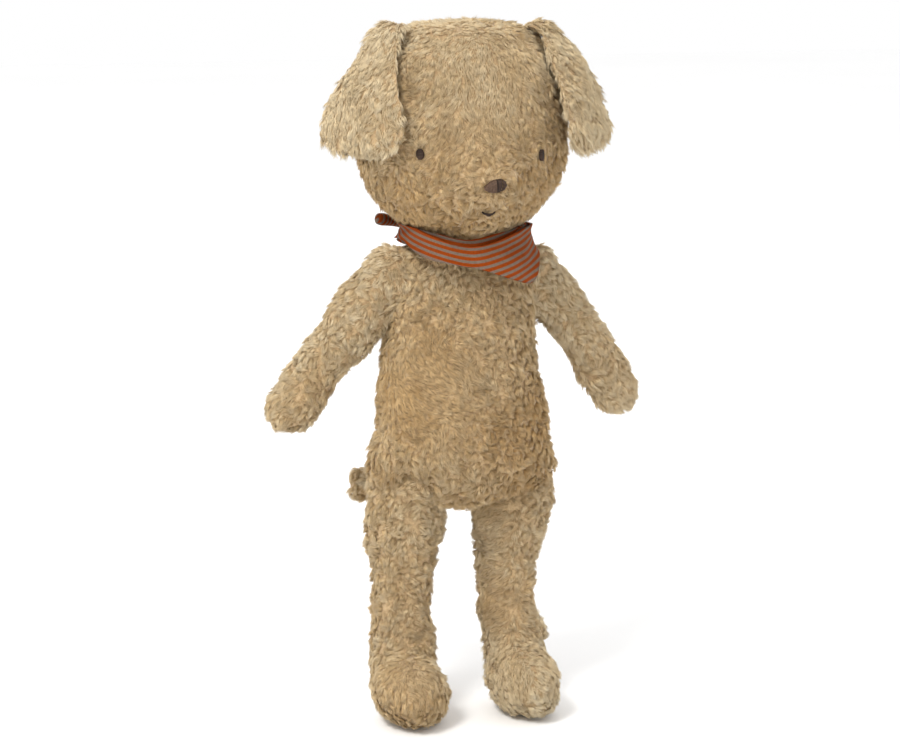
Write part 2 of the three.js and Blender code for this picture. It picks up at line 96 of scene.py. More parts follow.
area_light("key_light", (-1.0, -1.0, 1.7), 0.6, 28, (1.0, 0.99, 0.965))
area_light("fill_light", (1.3, -1.5, 0.6), 1.4, 1)
area_light("back_light", (0.4, 1.6, 1.3), 1.2, 4)

world = bpy.data.worlds.new("studio")
world.use_nodes = True
backdrop = world.node_tree.nodes["Background"]
backdrop.inputs["Color"].default_value = (1, 1, 1, 1)
backdrop.inputs["Strength"].default_value = 1.0
bpy.context.scene.world = world
bpy.context.scene.view_settings.view_transform = "Standard"


# ----- Mesh helpers -----


def new_object(name, vertices, faces):
    mesh = bpy.data.meshes.new(name)
    mesh.from_pydata([tuple(v) for v in vertices], [], [tuple(f) for f in faces])
    mesh.validate()
    mesh.update()
    smoothed(mesh)
    return linked(name, mesh)


def smoothed(mesh):
    mesh.polygons.foreach_set("use_smooth", np.ones(len(mesh.polygons), bool))


def points_of(mesh):
    co = np.empty(len(mesh.vertices) * 3, np.float32)
    mesh.vertices.foreach_get("co", co)
    return co.reshape(-1, 3).astype(float)


def normals_of(mesh):
    no = np.empty(len(mesh.vertices) * 3, np.float32)
    mesh.vertices.foreach_get("normal", no)
    return no.reshape(-1, 3).astype(float)


def move_to(mesh, co):
    mesh.vertices.foreach_set("co", np.asarray(co, np.float32).ravel())
    mesh.update()


def applied(obj, kind, **settings):
    """Adds a modifier, and bakes it into the mesh."""
    modifier = obj.modifiers.new(kind.lower(), kind)
    for key, value in settings.items():
        setattr(modifier, key, value)
    graph = bpy.context.evaluated_depsgraph_get()
    mesh = bpy.data.meshes.new_from_object(obj.evaluated_get(graph))
    obj.modifiers.clear()
    old, obj.data = obj.data, mesh
    bpy.data.meshes.remove(old)
    mesh.name = obj.name
    smoothed(mesh)


def spline(rows, between):
    """Rows of numbers with `between` smooth steps from each to the next."""
    rows = np.asarray(rows, float)
    padded = np.vstack([2 * rows[0] - rows[1], rows, 2 * rows[-1] - rows[-2]])
    out = []
    for i in range(1, len(padded) - 2):
        a, b, c, d = padded[i - 1 : i + 3]
        for k in range(between):
            t = k / between
            out.append(
                0.5 * (2 * b + (c - a) * t + (2 * a - 5 * b + 4 * c - d) * t**2 + (3 * b - a - 3 * c + d) * t**3)
            )
    out.append(rows[-1])
    return np.array(out)


def skinned_rings(rings):
    """Vertices and faces of a closed form through rings of the same number of points."""
    count, around = len(rings), len(rings[0])
    vertices = [p for ring in rings for p in ring]
    vertices += [np.mean(rings[0], 0), np.mean(rings[-1], 0)]
    faces = []
    for i in range(count - 1):
        for j in range(around):
            k = (j + 1) % around
            faces.append((i * around + j, i * around + k, (i + 1) * around + k, (i + 1) * around + j))
    first, last = count * around, count * around + 1
    for j in range(around):
        k = (j + 1) % around
        faces.append((first, k, j))
        faces.append((last, (count - 1) * around + j, (count - 1) * around + k))
    return vertices, faces


def angles_round(count):
    return np.arange(count) * 2 * math.pi / count


def ring_at(middle, radius, angle, side, over):
    """Points round a middle, at angles from one direction towards another."""
    return middle + radius * (np.cos(angle)[:, None] * side + np.sin(angle)[:, None] * over)


def across_path(path, up):
    """Each point of a path with two directions across it, which don't twist along the path."""
    along = np.gradient(path, axis=0)
    along /= np.linalg.norm(along, axis=1)[:, None]
    side = np.cross(along[0], up)
    for p, t in zip(path, along):
        side = side - t * (side @ t)
        side /= np.linalg.norm(side)
        yield p, side, np.cross(t, side)


def joined(name, objects):
    """Several meshes as one object."""
    form = bmesh.new()
    for o in objects:
        form.from_mesh(o.data)
    mesh = bpy.data.meshes.new(name)
    form.to_mesh(mesh)
    form.free()
    return linked(name, mesh)


def discard(*objects):
    for o in objects:
        bpy.data.objects.remove(o)


def largest_part(obj):
    """Keeps the largest connected surface of a mesh, which is its outside."""
    form = bmesh.new()
    form.from_mesh(obj.data)
    seen, best = set(), []
    for v in form.verts:
        group, todo = [], [v]
        while todo:
            w = todo.pop()
            if w not in seen:
                seen.add(w)
                group.append(w)
                todo += [e.other_vert(w) for e in w.link_edges]
        best = max(best, group, key=len)
    keep = set(best)
    bmesh.ops.delete(form, geom=[v for v in form.verts if v not in keep], context="VERTS")
    form.to_mesh(obj.data)
    form.free()


def relaxed(obj, rounds, factor=0.5):
    form = bmesh.new()
    form.from_mesh(obj.data)
    for _ in range(rounds):
        bmesh.ops.smooth_vert(
            form, verts=form.verts, factor=factor, use_axis_x=True, use_axis_y=True, use_axis_z=True
        )
    form.to_mesh(obj.data)
    form.free()


# ----- Stuffed skins -----

PILE = 2.1 * MM  # how far the backing cloth lies under the crushed pile's surface
LAST_STEP = 20  # of the cloth simulation


def puffed(obj, cap):
    """Lets the cloth swell and pucker under the pressure of its filling, by up to cap."""
    start = points_of(obj.data)
    cloth = obj.modifiers.new("cloth", "CLOTH")
    settings = cloth.settings
    settings.quality = 4
    settings.mass = 0.2
    settings.tension_stiffness = settings.compression_stiffness = 12
    settings.shear_stiffness = 6
    settings.bending_stiffness = 0.3
    settings.use_pressure = True
    settings.uniform_pressure_force = 4
    settings.shrink_min = -0.06
    settings.effector_weights.gravity = 0
    cloth.point_cache.frame_start, cloth.point_cache.frame_end = 1, LAST_STEP
    scene = bpy.context.scene
    for number in range(1, LAST_STEP + 1):
        scene.frame_set(number)
        graph = bpy.context.evaluated_depsgraph_get()
        end = points_of(obj.evaluated_get(graph).to_mesh())
        obj.evaluated_get(graph).to_mesh_clear()
    obj.modifiers.clear()
    scene.frame_set(1)
    move = end - start
    far = np.linalg.norm(move, axis=1)[:, None]
    move *= np.minimum(1, cap / np.maximum(far, 1e-9))
    move_to(obj.data, start + move)


def lumpy(obj, size, height, seed):
    """Raises soft lumps of about that size and height, as stuffing does."""
    co, no = points_of(obj.data), normals_of(obj.data)
    offset = Vector((seed * 7.13, seed * 3.7, seed * 1.9))
    rise = np.array([noise.noise(Vector(p) / size + offset) for p in co])
    move_to(obj.data, co + no * (height * rise)[:, None])


def stuffed_skin(name, parts, voxel=4.2 * MM, cap=1.6 * MM, lumps=1.0, seed=1, puff=True, inset=PILE):
    """The backing cloth of a stuffed form, made from the CAD nodes or meshes in parts."""
    obj = joined(name, parts)
    applied(obj, "REMESH", mode="VOXEL", voxel_size=voxel)
    largest_part(obj)
    relaxed(obj, 2)
    move_to(obj.data, points_of(obj.data) - normals_of(obj.data) * inset)
    if puff:
        puffed(obj, cap)
    relaxed(obj, 1, 0.3)
    applied(obj, "SUBSURF", levels=1, render_levels=1)
    lumpy(obj, 11 * MM, 1.5 * MM * lumps, seed)
    lumpy(obj, 5 * MM, 0.5 * MM * lumps, seed + 20)
    return obj


def distance_to_line(p, line):
    """The distance from each point to a line through several points."""
    best = np.full(len(p), np.inf)
    for a, b in zip(line[:-1], line[1:]):
        t = np.clip(((p - a) @ (b - a)) / ((b - a) @ (b - a)), 0, 1)
        best = np.minimum(best, np.linalg.norm(p - a - t[:, None] * (b - a), axis=1))
    return best


def creased(obj, line, depth, width):
    """Presses a seam or a fold into a skin along a line, given in millimetres."""
    co, no = points_of(obj.data), normals_of(obj.data)
    path = np.array([at(*q) for q in spline(line, 6)])
    near = distance_to_line(co, path) / (width * MM)
    move_to(obj.data, co - no * (depth * MM * np.exp(-(near**2)))[:, None])


def nodes(*names):
    return [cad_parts[n] for n in names]


# Rows of the torso: centre x, y, z, half width and half depth in millimetres.
TORSO = [
    [0, 4, 92.5, 9, 7],
    [0, 4, 95, 23, 14],
    [0, 3, 100, 33, 20.5],
    [0, 1.5, 108, 39, 25.5],
    [0, 0, 121, 40, 28],
    [0, 0, 138, 37.5, 28.5],
    [0, 0, 160, 34.3, 27],
    [0, 0, 180, 32.8, 25],
    [0, 0, 193, 31, 23],
    [0, 0, 201, 27, 21],
    [0, 0, 204.5, 22.5, 19.5],
]


def torso_form():
    rings = []
    angle = angles_round(56)
    for x, y, z, wide, deep in spline(TORSO, 3):
        ring = np.stack([x + wide * np.cos(angle), y + deep * np.sin(angle), np.full(len(angle), z)], 1)
        rings.append((ring + AXIS) * MM)
    return new_object("torso_form", *skinned_rings(rings))


SIDES = {"right": -1, "left": 1}
skins = {}
form = torso_form()
skins["torso"] = stuffed_skin("torso_skin", [form], seed=1)
discard(form)
skins["head"] = stuffed_skin(
    "head_skin",
    nodes("head_centre_panel", "head_side_panel_right", "head_side_panel_left", "head_stuffing"),
    voxel=3.4 * MM, cap=1.0 * MM, lumps=0.7, seed=2,
)
skins["tail"] = stuffed_skin(
    "tail_skin", nodes("tail_upper_panel", "tail_lower_panel", "tail_stuffing"), voxel=2.4 * MM, seed=3, puff=False
)
for side in SIDES:
    seed = 5 if side == "right" else 6
    arm, leg, ear = "arm_" + side, "leg_" + side, "ear_" + side
    skins[arm] = stuffed_skin(
        arm + "_skin", nodes(arm + "_front_panel", arm + "_back_panel", arm + "_stuffing"),
        voxel=3.0 * MM, cap=1.2 * MM, seed=seed,
    )
    skins[leg] = stuffed_skin(
        leg + "_skin", nodes(leg + "_inner_panel", leg + "_outer_panel", leg + "_stuffing"),
        voxel=3.2 * MM, cap=1.2 * MM, seed=seed + 2,
    )
    skins[ear] = stuffed_skin(
        ear + "_skin", nodes(ear + "_outer", ear + "_inner"),
        voxel=1.7 * MM, lumps=0.8, seed=seed + 4, puff=False, inset=1.5 * MM,
    )
skins["neck"] = stuffed_skin("neck_skin", nodes("neck_tube", "neck_stuffing"), voxel=2 * MM, seed=12, puff=False)


def nudged(obj, *pushes):
    """Moves the skin near each centre, given in millimetres with a radius and a move."""
    co = points_of(obj.data)
    start = co.copy()
    for centre, radius, move in pushes:
        near = np.linalg.norm(start - at(*centre), axis=1) / (radius * MM)
        co += np.exp(-(near**2))[:, None] * np.array(move) * MM
    move_to(obj.data, co)


def swollen(obj, rise, move=(0, 0, 0)):
    """Fattens a whole skin a little, and shifts it, in millimetres."""
    move_to(obj.data, points_of(obj.data) + normals_of(obj.data) * rise * MM + np.array(move) * MM)


def shaped_ear(obj, sign):
    """Spreads the ear's free front edge, and lets its upper part lie closer to the head."""
    co = points_of(obj.data)
    root = at(33.2 * sign, -7, 295.8)
    outward, across = np.array([0.742 * sign, -0.67, 0]), np.array([0.67 * sign, 0.742, 0])
    down = (root[2] - co[:, 2]) / MM
    along = (co - root) @ across
    front = np.interp(down, [0, 12, 30, 52], [0.0, 0.1, 0.22, 0.16])
    back = np.interp(down, [0, 8, 22, 34], [-0.4, -0.45, -0.12, 0.03] if sign < 0 else [-0.12, 0.06, 0.06, 0.0])
    wide = np.where(along < 0, front, back)
    close = np.interp(down, [-3, 4, 10, 18, 26, 40], [4.2, 4.2, 3.4, 1.4, 0, 0.2 if sign < 0 else -2]) * MM
    if sign > 0:
        close += np.interp(down, [0, 8, 15, 24], [0, 1.6, 1.6, 0]) * MM
    co = co + across * (along * wide)[:, None] - outward * close[:, None]
    co[:, 2] += np.interp(down, [28, 44], [0, 1.1]) * MM
    move_to(obj.data, co)


nudged(skins["torso"],
    ((-38, 0, 150), 22, (0.7, 0, 0)),
    ((-41, 0, 128), 15, (2.6, 0, 0)),
    ((37, 0, 152), 30, (-2, 0, 0)),
    ((42, 0, 99), 13, (10.6, 0, 0)),
    ((-40, 0, 107), 12, (-2, 0, 0)),
    ((-24, -20, 101), 11, (0, 5.5, 5)),
    ((-28, 0, 197), 8, (-0.3, 0, 5.6)),
    ((0, -12, 92), 13, (0, 0, -2.4)),
)
nudged(skins["head"],
    ((41, -8, 238), 15, (2, 0, 0)),
    ((-40, -5, 236), 14, (-0.9, 0, 0)),
    ((0, 0, 302), 32, (0, 0, -1.7)),
    ((-24, 0, 300), 12, (0, 0, -1)),
    ((12, 0, 302), 10, (0, 0, 0.8)),
    ((31.5, -8, 294), 6, (2.4, -0.5, 2.8)),
    ((3, -27, 210), 12, (0, -0.8, -2.2)),
    ((37, -6, 283), 9, (2.6, -0.6, 0)),
    ((-37, -6, 283), 9, (-1.5, -0.6, 0)),
)
swollen(skins["arm_right"], 0.9, (0.3, 0, -0.4))
nudged(skins["arm_right"],
    ((-33, 0, 201), 10, (-0.8, 0, 4.2)),
    ((-46, 2, 186), 12, (-2.2, 0, 2.8)),
    ((-60, 2, 162), 12, (-0.6, 0, 0.6)),
    ((-42, 3, 165), 11, (1.8, 0, -2)),
)
swollen(skins["arm_left"], 0.6, (1, 0, 0.5))
nudged(skins["arm_left"],
    ((34, 0, 201), 10, (1.4, 0, 2)),
    ((44, 2, 188), 13, (1.6, 0, 2)),
    ((27, -16, 198), 8, (1, 3.6, -1)),
)
nudged(skins["leg_right"],
    ((-10, 5, 92), 17, (4.8, 0, -1)),
    ((-23, -12, 102), 11, (0.5, -6, 5)),
    ((-12, 5, 66), 14, (1.2, 0, 0)),
    ((-24, -5, 10), 27, (2.2, 0, 0)),
    ((-12, -4, 33), 12, (2.7, 0, 0)),
    ((-12, -17, 10), 10, (2, 0, -0.4)),
    ((-39, 5, 56), 14, (0.4, 0, 0)),
    ((-41, 4, 76), 18, (-1.3, 0, 0)),
    ((-41, -6, 24), 18, (-4.8, 0, 0)),
)
nudged(skins["leg_left"],
    ((42, 5, 94), 17, (5.2, 0, 0)),
    ((39, 6, 46), 8, (-0.8, 0, 0)),
    ((39, 6, 31), 8, (5.2, 0, 0)),
    ((10, 8, 76), 22, (0.3, 0, 0)),
    ((11, 5, 87), 10, (-1.5, 0, 0)),
    ((10, 0, 22), 13, (-1.8, 0, 0)),
    ((25, -5, 10), 27, (2.2, 0, 0)),
)
swollen(skins["neck"], 4.5)
swollen(skins["tail"], 0.9)
nudged(skins["tail"], ((-34, 53, 99), 6, (0, 0, 2.4)), ((-34, 53, 86), 7, (-0.6, 0, -3)))
# Seams and folds of each skin: a line in millimetres, its depth and its width; the pile along each is also darkened
# as painted shade
FOLDS = {name: [] for name in skins}


def fold(name, sign, line, depth, width):
    """Adds a fold whose line is given for the dog's left side."""
    FOLDS[name].append(([(x * sign, y, z) for x, y, z in line], depth, width))


fold("ear_left", 1, [(49, -17, 285), (57, -18, 270), (63, -18, 256), (66, -18, 244)], 1.6, 1.8)
for side, sign in SIDES.items():
    shaped_ear(skins["ear_" + side], sign)
    if sign < 0:
        thigh = [(39.6, -6, 110), (33, -16, 113), (26, -22, 113.6), (18, -25, 111), (12, -25, 104.5), (9, -23, 98)]
    else:
        thigh = [(39, -8, 108.5), (31, -18, 111), (24, -23, 109.5), (18, -25, 106), (12, -23, 99)]
    shin = 23.5 if sign < 0 else 21.5
    leg = "leg_" + side
    fold("torso", sign, thigh, 2.8 if sign < 0 else 1.6, 2)
    fold(leg, sign, [(x, y, z - 1) for x, y, z in thigh], 0.8, 1.4)
    fold(leg, sign, [(shin, -9, 96), (shin, -8, 78), (shin, -5, 60), (shin, -4, 42)], 2.2, 1.5)  # the shin's seam
    fold(leg, sign, [(33, -2, 37), (31, -4, 36), (25, -6, 35), (15, 0, 38)], 1.9, 2)  # the ankle's crease
    fold("head", sign, [(25.5, -38, 243), (24, -40, 232), (21, -37, 219)], 1.2, 1.2)  # the cheek's seam
nudged(skins["ear_left"],
    ((46.6, -15, 282), 9, (1.7, -0.8, 1.5)),
    ((56, -16, 266), 8, (-1, 0.3, 0)),
    ((49, -17, 238), 8, (0, 0, -1.6)),
)
for name, folds in FOLDS.items():
    for line, depth, width in folds:
        creased(skins[name], line, depth, width)


def pressed(z, floor):
    """Heights eased towards a floor that they stay above, as where a sole rests."""
    soft = 1.9 * MM
    return np.where(z < floor + soft, floor + soft * np.exp(np.minimum(z - floor - soft, 0) / soft), z)


for side in SIDES:
    co = points_of(skins["leg_" + side].data)
    co[:, 2] = pressed(co[:, 2], 1.6 * MM)
    move_to(skins["leg_" + side].data, co)


def triangles_of(mesh):
    mesh.calc_loop_triangles()
    tris = np.empty(len(mesh.loop_triangles) * 3, np.int32)
    mesh.loop_triangles.foreach_get("vertices", tris)
    return tris.reshape(-1, 3)


def tree_of(obj):
    return BVHTree.FromPolygons([tuple(p) for p in points_of(obj.data)], triangles_of(obj.data).tolist())


trees = {name: tree_of(obj) for name, obj in skins.items()}


# ----- Materials -----


def material(name, roughness, **values):
    """A new material, with the shader's own numbers and colours given by socket."""
    made = bpy.data.materials.new(name)
    made.use_nodes = True
    shader = made.node_tree.nodes["Principled BSDF"]
    shader.inputs["Roughness"].default_value = roughness
    for socket, value in values.items():
        shader.inputs[socket.replace("_", " ")].default_value = value
    return made, made.node_tree, shader


def srgb(r, g, b):
    return tuple(((c / 255 + 0.055) / 1.055) ** 2.4 if c > 10 else c / 3295 for c in (r, g, b)) + (1,)


def ramp(tree, factor, stops):
    node = tree.nodes.new("ShaderNodeValToRGB")
    while len(node.color_ramp.elements) < len(stops):
        node.color_ramp.elements.new(0.5)
    for element, (place, colour) in zip(node.color_ramp.elements, stops):
        element.position = place
        element.color = colour
    tree.links.new(factor, node.inputs["Fac"])
    return node.outputs["Color"]


def field(tree, name):
    node = tree.nodes.new("ShaderNodeAttribute")
    node.attribute_name = name
    return node.outputs["Fac"]


def clouds(tree, scale, detail=3, roughness=0.5):
    place = tree.nodes.new("ShaderNodeTexCoord")
    node = tree.nodes.new("ShaderNodeTexNoise")
    node.inputs["Scale"].default_value = scale
    node.inputs["Detail"].default_value = detail
    node.inputs["Roughness"].default_value = roughness
    tree.links.new(place.outputs["Object"], node.inputs["Vector"])
    return node.outputs["Fac"]


def maths(tree, operation, a, b):
    node = tree.nodes.new("ShaderNodeMath")
    node.operation = operation
    for socket, value in zip(node.inputs, (a, b)):
        if isinstance(value, (int, float)):
            socket.default_value = value
        else:
            tree.links.new(value, socket)
    return node.outputs[0]


def multiplied(tree, factor, a, b):
    """Colour a darkened by colour b, by a share of factor."""
    node = tree.nodes.new("ShaderNodeMix")
    node.data_type = "RGBA"
    node.blend_type = "MULTIPLY"
    node.inputs["Factor"].default_value = factor
    tree.links.new(a, node.inputs["A"])
    tree.links.new(b, node.inputs["B"])
    return node.outputs["Result"]


def bumped(tree, shader, height, strength, distance):
    node = tree.nodes.new("ShaderNodeBump")
    node.inputs["Strength"].default_value = strength
    node.inputs["Distance"].default_value = distance
    tree.links.new(height, node.inputs["Height"])
    tree.links.new(node.outputs["Normal"], shader.inputs["Normal"])


# sRGB colours of the pile, from its roots, darkened as painted shade deep in the pile, to its pale tips
SHADED_ROOT, MIDDLE, TIP, PALE = srgb(122, 97, 64), srgb(225, 205, 167), srgb(243, 229, 198), srgb(247, 235, 207)
WHITE = (1, 1, 1, 1)


def pile_material():
    made, tree, shader = material("plush_pile", 0.72, Sheen_Weight=0.25, Sheen_Roughness=0.5,
                                  Sheen_Tint=srgb(240, 226, 200), Specular_IOR_Level=0.3)
    colour = ramp(tree, field(tree, "along"), [(0.0, SHADED_ROOT), (0.36, MIDDLE), (0.75, TIP), (1.0, PALE)])
    # the tone carries random variation of the pile, and painted shade in the gaps between curls and along folds
    tone = ramp(tree, field(tree, "tone"), [(0.0, srgb(214, 205, 190)), (0.5, srgb(240, 235, 228)), (1.0, WHITE)])
    colour = multiplied(tree, 1.0, colour, tone)
    # the plush is a warmer brown by region: where it is flattened, and as painted light and shade, paler over the
    # crown and the left foot, browner on the cheeks, under the chin and on the belly's shaded side
    warmth = ramp(tree, field(tree, "warm"), [(0.0, WHITE), (0.5, srgb(243, 233, 218)), (1.0, srgb(229, 208, 177))])
    colour = multiplied(tree, 1.0, colour, warmth)
    tree.links.new(colour, shader.inputs["Base Color"])
    return made


def backing_material():
    made, tree, shader = material("plush_backing", 0.9, Sheen_Weight=0.2)
    grain = clouds(tree, 900, 4, 0.6)
    colour = ramp(tree, grain, [(0.3, srgb(150, 122, 84)), (0.6, srgb(188, 160, 120)), (0.8, srgb(206, 180, 140))])
    tree.links.new(colour, shader.inputs["Base Color"])
    bumped(tree, shader, grain, 0.8, 0.0012)
    return made


pile = pile_material()
backing = backing_material()
for obj in skins.values():
    obj.data.materials.clear()
    obj.data.materials.append(backing)


# ----- Scarf -----

JERSEY = 1.1 * MM
STRIPE = 2.5 * MM  # one orange and one grey stripe


def interpolate(table, x):
    return np.interp(x, *np.array(table, float).T)


# Angles in degrees run round the neck from the front, positive towards the dog's own left.
# Each pair is an angle and a height in millimetres.
FLAP_LOWER = [(-180, 205), (-143, 206), (-110, 207.4), (-85, 208.4), (-73, 208), (-61, 206.5), (-50, 204.4),
              (-40, 202.8), (-30, 201.5), (-18, 200.4), (-6, 199.4), (2, 198.2), (10, 196.4), (18, 194.6),
              (26, 193), (33, 191.6),
              (38, 191.2), (43, 192.4), (48, 194.8), (54, 197.6), (60, 200.5), (75, 203), (110, 203), (180, 203)]
FLAP_UPPER = [(-180, 212), (-110, 213.5), (-85, 214.6), (-74, 215), (-55, 214.2), (-40, 212.2), (-29, 210.2),
              (-19, 208.2), (-9, 207.5), (2, 208), (14, 209.6), (30, 211.8), (45, 213), (58, 213.6), (75, 213.4),
              (110, 212.6), (180, 212)]
INNER_LOWER = [(-180, 208), (-35, 206), (-14, 203.5), (14, 203.5), (35, 206), (180, 208)]
INNER_UPPER = [(-180, 213), (-85, 214.6), (-55, 214), (-32, 212.2), (-19, 210.6), (-9, 210), (2, 210.6), (15, 212),
               (45, 213.4), (85, 213.6), (180, 213)]


def neck_radius(z):
    """How far the scarf's inside lies from the neck's axis at a height, in millimetres."""
    return np.interp(z, [186, 194, 201, 208, 212.8, 215], [34.2, 33.6, 31.6, 28.6, 27.2, 27.0])


def band(name, lower, upper, lift, folds, around=216, across=22, roll=1.2):
    """A closed two-faced band of cloth round the neck, with a stripe distance at each point."""
    angles = np.linspace(-180, 180, around, endpoint=False)
    t = np.linspace(0, 1, across)
    rings, stripes = [], []
    for a in angles:
        low, high = interpolate(lower, a), interpolate(upper, a)
        z = low + (high - low) * t
        wave = folds * (
            np.sin(a * math.pi / 180 * 3 + t * 5.0) * 0.5
            + np.sin(a * math.pi / 180 * 7 + 1.3 - t * 9.0) * 0.3
            + np.sin(a * math.pi / 180 * 17 + t * 3.0) * 0.12
        )
        # the edges roll outwards a little, as cut jersey does
        curl = roll * (np.exp(-(t * 14) ** 2) * 0.5 + np.exp(-((1 - t) * 9) ** 2))
        # the cloth is pulled in behind the right shoulder, towards the knot
        tuck = np.interp(a, [-180, -140, -115, -88, -72, -52, -40], [-0.8, -2.6, -3.2, -2.2, -1.6, -0.6, 0.0])
        tuck -= 1.0 * (1 - t) * math.exp(-(((a + 76) / 24) ** 2))
        away = tuck + lift * np.interp(a, [-180, -115, -72, -40, 60, 100, 180], [0.3, 0.4, 0.5, 1, 1, 0.8, 0.3])
        radius = neck_radius(z) + away + wave + curl
        rad = math.radians(a)
        outer = np.stack([radius * math.sin(rad), -radius * math.cos(rad), z], 1)
        inner_radius = radius - JERSEY / MM
        inner = np.stack([inner_radius * math.sin(rad), -inner_radius * math.cos(rad), z], 1)
        rings.append(np.vstack([outer, inner[::-1]]))
        x = radius * rad
        reach = np.minimum(np.abs(x + 3), 60)
        s = z - np.where(x > -3, 0.25, 0.29) * (np.hypot(reach, 6) - 6)
        stripes.append(np.concatenate([s, s[::-1]]))
    ring_size = across * 2
    vertices = np.concatenate(rings)
    faces = []
    for i in range(around):
        k = (i + 1) % around
        for j in range(ring_size):
            m = (j + 1) % ring_size
            faces.append((i * ring_size + j, k * ring_size + j, k * ring_size + m, i * ring_size + m))
    obj = new_object(name, (vertices + AXIS) * MM, faces)
    wales = np.repeat(np.radians(angles) * 31, ring_size)
    stamp(obj, stripe=np.concatenate(stripes), wale=wales)
    return obj


def stamp(obj, **values):
    """Writes numbers per vertex for the materials."""
    for name, data in values.items():
        attribute = obj.data.attributes.new(name, "FLOAT", "POINT")
        attribute.data.foreach_set("value", np.asarray(data, np.float32))


def rolled(name, path, radii, start=0.0, turns=1.2, around=14):
    """A rolled tie end: a tube whose stripes wind round it, with the roll's groove along it."""
    run = np.concatenate([[0], np.cumsum(np.linalg.norm(np.diff(path, axis=0), axis=1))])
    angle = angles_round(around)
    rings, stripes, wales = [], [], []
    for (p, side, over), r, s in zip(across_path(path, [0.2, 0.4, 0.9]), radii, run):
        groove = 1 - 0.22 * np.exp(-((angle - math.pi * (1 + 0.1 * s)) ** 2) * 4)
        rings.append(ring_at(p, r * groove[:, None], angle, side, over))
        stripes.append(start + s + angle / (2 * math.pi) * STRIPE / MM * turns)
        wales.append(angle * r)
    vertices, faces = skinned_rings(rings)
    obj = new_object(name, (np.array(vertices) + AXIS) * MM, faces)
    ends = [start, start + run[-1]]
    stamp(obj, stripe=np.concatenate([*stripes, ends]), wale=np.concatenate([*wales, [0, 0]]))
    return obj


def jersey_material():
    made, tree, shader = material("striped_jersey", 0.85, Specular_IOR_Level=0.1)
    position = maths(tree, "DIVIDE", field(tree, "stripe"), STRIPE / MM)
    stripe = maths(tree, "FRACT", maths(tree, "ADD", position, 100.0), 0.0)
    wale = maths(tree, "MULTIPLY", field(tree, "wale"), 2 * math.pi / 0.75)
    column = maths(tree, "ABSOLUTE", maths(tree, "SINE", wale, 0.0), 0.0)
    course = maths(tree, "MULTIPLY", field(tree, "stripe"), 2 * math.pi / 0.5)
    # the loops of a wale lean to each side in turn, so the stripe's edge is a fine zigzag
    edge = maths(tree, "ADD", stripe, maths(tree, "MULTIPLY", column, 0.1))
    fleck = clouds(tree, 1500, 2)
    edge = maths(tree, "ADD", edge, maths(tree, "MULTIPLY", fleck, 0.05))
    orange, grey = srgb(174, 76, 14), srgb(148, 130, 115)
    colour = ramp(tree, edge, [(0.0, orange), (0.5, orange), (0.56, grey), (0.97, grey), (1.0, orange)])
    # painted shade in the grooves between the wales
    shade = ramp(tree, column, [(0.0, srgb(122, 110, 102)), (0.55, WHITE)])
    colour = multiplied(tree, 0.8, colour, shade)
    flecks = ramp(tree, fleck, [(0.3, srgb(215, 208, 200)), (0.65, WHITE)])
    colour = multiplied(tree, 0.7, colour, flecks)
    tree.links.new(colour, shader.inputs["Base Color"])
    loops = maths(tree, "ADD", column, maths(tree, "MULTIPLY", maths(tree, "SINE", course, 0.0), 0.35))
    bumped(tree, shader, loops, 0.9, 0.0003)
    return made


jersey = jersey_material()

inner_band = band("scarf_inner_fold", INNER_LOWER, INNER_UPPER, lift=-0.2, folds=0.5, roll=0.7, across=12)
flap = band("scarf_flap", FLAP_LOWER, FLAP_UPPER, lift=2.0, folds=0.8)
turn = np.linspace(-2.6, 2.9, 26)
knot_path = np.stack([-12 + 3.2 * np.cos(turn), 29 + 2.4 * np.sin(turn), 210 + 4.6 * np.sin(turn + 0.6)], 1)
knot_radii = np.interp(np.linspace(0, 1, len(turn)), [0, 0.15, 0.85, 1], [2.0, 2.8, 2.8, 2.0])
knot = rolled("scarf_knot_cloth", knot_path, knot_radii)
short_path = spline([(-14.5, 28.5, 209.5), (-19.5, 25.5, 211.4), (-25.5, 21.5, 213.1), (-31.2, 17.5, 214.4)], 8)
short_radii = np.interp(np.linspace(0, 1, len(short_path)), [0, 0.5, 0.85, 0.96, 1], [1.9, 2.2, 2.7, 2.5, 1.7])
short_end = rolled("scarf_short_end_cloth", short_path, short_radii, start=1.0)
long_path = spline([(-14, 29.5, 208.5), (-11.5, 33.5, 203), (-10, 37, 195.5), (-9, 38.6, 187)], 8)
long_radii = np.interp(np.linspace(0, 1, len(long_path)), [0, 0.4, 0.9, 1], [2.4, 2.8, 3.4, 2.6])
long_end = rolled("scarf_long_end_cloth", long_path, long_radii, start=0.5)
scarf_parts = [inner_band, flap, knot, short_end, long_end]
for obj in scarf_parts:
    obj.data.materials.append(jersey)
trees["scarf"] = tree_of(flap)
trees["scarf_inner"] = tree_of(inner_band)


# ----- Embroidered face -----


def face_point(x, z, out):
    """The point of the head's skin straight in front of x, z, in metres, raised by out."""
    start = Vector(at(x, -90, z))
    hit, normal, _, _ = trees["head"].ray_cast(start, Vector((0, 1, 0)))
    return np.array(hit) + np.array(normal) * out


def thread_material():
    made, tree, shader = material("embroidery_thread", 0.55, Specular_IOR_Level=0.25)
    fibre = clouds(tree, 2600, 3, 0.6)
    colour = ramp(tree, fibre, [(0.3, srgb(58, 43, 33)), (0.55, srgb(94, 72, 57)), (0.8, srgb(128, 103, 84))])
    tone = ramp(tree, field(tree, "tone"), [(0.0, srgb(120, 110, 104)), (1.0, WHITE)])
    tree.links.new(multiplied(tree, 1.0, colour, tone), shader.inputs["Base Color"])
    bumped(tree, shader, fibre, 0.5, 0.0003)
    return made


thread = thread_material()
RAISE = PILE + 0.5 * MM  # how far embroidery stands over the backing cloth, level with the pile


